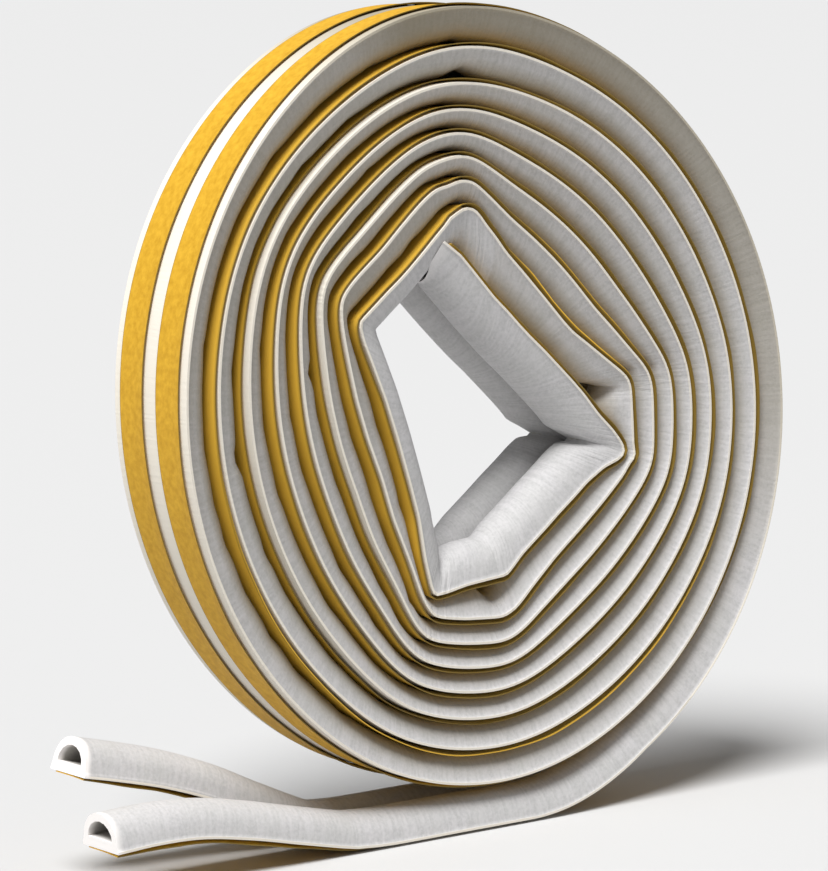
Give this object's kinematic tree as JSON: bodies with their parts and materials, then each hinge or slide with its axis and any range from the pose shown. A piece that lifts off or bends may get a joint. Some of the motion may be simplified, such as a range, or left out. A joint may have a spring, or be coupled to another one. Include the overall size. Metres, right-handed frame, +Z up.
{
  "type": "coiled door weatherstrip",
  "caption": "Coil of twin hollow D-profile sponge-rubber weatherstrip with release paper on its flat backs, standing on its own split tail.",
  "frame": {"origin": "on the floor, under the middle of the part's box", "axes": "+X to the coil's right as seen from the front, +Y across the strip to the back, +Z up"},
  "size_m": [0.1384, 0.0198, 0.1315],
  "materials": {
    "sponge_rubber": "matt off-white closed-cell sponge rubber",
    "release_paper": "satin amber siliconised kraft paper"
  },
  "bodies": {
    "root": {"twin_strip": "sponge_rubber", "liner_near": "release_paper", "liner_far": "release_paper"}
  },
  "joints": []
}
